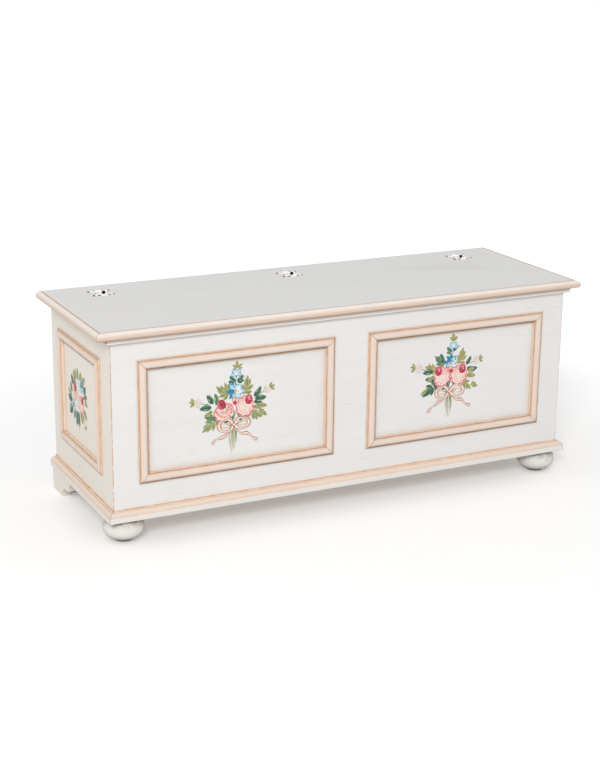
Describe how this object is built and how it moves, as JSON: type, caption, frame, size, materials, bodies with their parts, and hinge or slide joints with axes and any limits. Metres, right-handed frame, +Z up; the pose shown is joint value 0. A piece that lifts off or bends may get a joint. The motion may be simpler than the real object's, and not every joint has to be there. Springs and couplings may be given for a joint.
{
  "type": "blanket chest",
  "caption": "Long painted blanket chest with framed panels, applied mouldings, a hinged lid on a fixed back strip, bun feet in front and bracket feet behind.",
  "frame": {"origin": "on the floor, under the middle of the closed chest's whole outline", "axes": "+X to the chest's right as seen from its front, along its length; +Y to the back; +Z up"},
  "size_m": [1.3, 0.45, 0.5218],
  "materials": {
    "body_paint": "satin grey-white paint with fine brush streaks, hairline tan cracks and worn edges",
    "trim_paint": "satin pale pink paint rubbed through to a tan undercoat along the quirks",
    "bare_wood": "bare planed softwood and plywood",
    "hinge_nickel": "bright nickel plate with small rust specks",
    "glide_plastic": "black moulded glide"
  },
  "bodies": {
    "chest": {"back_bottom_rail": "body_paint", "back_cleat": "bare_wood", "back_panel": "bare_wood", "back_strip": "body_paint", "back_strip_edge_left": "trim_paint", "back_strip_edge_right": "trim_paint", "back_top_rail": "body_paint", "base_moulding_front": "trim_paint", "base_moulding_left": "trim_paint", "base_moulding_right": "trim_paint", "bottom_board": "bare_wood", "cornice_front": "body_paint", "cornice_left": "body_paint", "cornice_right": "body_paint", "front_bottom_rail": "body_paint", "front_centre_stile": "body_paint", "front_cleat": "bare_wood", "front_foot_blocks": "bare_wood", "front_foot_glides": "glide_plastic", "front_left_bun_foot": "body_paint", "front_left_panel": "body_paint", "front_left_panel_moulding_rails": "trim_paint", "front_left_panel_moulding_stiles": "trim_paint", "front_left_stile": "body_paint", "front_right_bun_foot": "body_paint", "front_right_panel": "body_paint", "front_right_panel_moulding_rails": "trim_paint", "front_right_panel_moulding_stiles": "trim_paint", "front_right_stile": "body_paint", "front_top_rail": "body_paint", "hinge_fixed_leaves": "hinge_nickel", "hinge_pins": "hinge_nickel", "hinge_screws_fixed": "hinge_nickel", "left_bottom_rail": "body_paint", "left_cleat": "bare_wood", "left_front_stile": "body_paint", "left_panel": "body_paint", "left_panel_moulding_rails": "trim_paint", "left_panel_moulding_stiles": "trim_paint", "left_rear_stile": "body_paint", "left_top_rail": "body_paint", "rear_foot_blocks": "bare_wood", "rear_left_bracket_foot": "body_paint", "rear_right_bracket_foot": "body_paint", "right_bottom_rail": "body_paint", "right_cleat": "bare_wood", "right_front_stile": "body_paint", "right_panel": "body_paint", "right_panel_moulding_rails": "trim_paint", "right_panel_moulding_stiles": "trim_paint", "right_rear_stile": "body_paint", "right_top_rail": "body_paint"},
    "lid": {"lid_board": "body_paint", "lid_edge_front": "trim_paint", "lid_edge_left": "trim_paint", "lid_edge_right": "trim_paint", "hinge_lid_leaves": "hinge_nickel", "hinge_screws_lid": "hinge_nickel"}
  },
  "joints": [
    {"name": "lid_hinge", "type": "hinge", "parent": "chest", "child": "lid", "pos_m": [0, 0.142, 0.5192], "axis": [-1, 0, 0], "range_deg": [0, 100]}
  ]
}
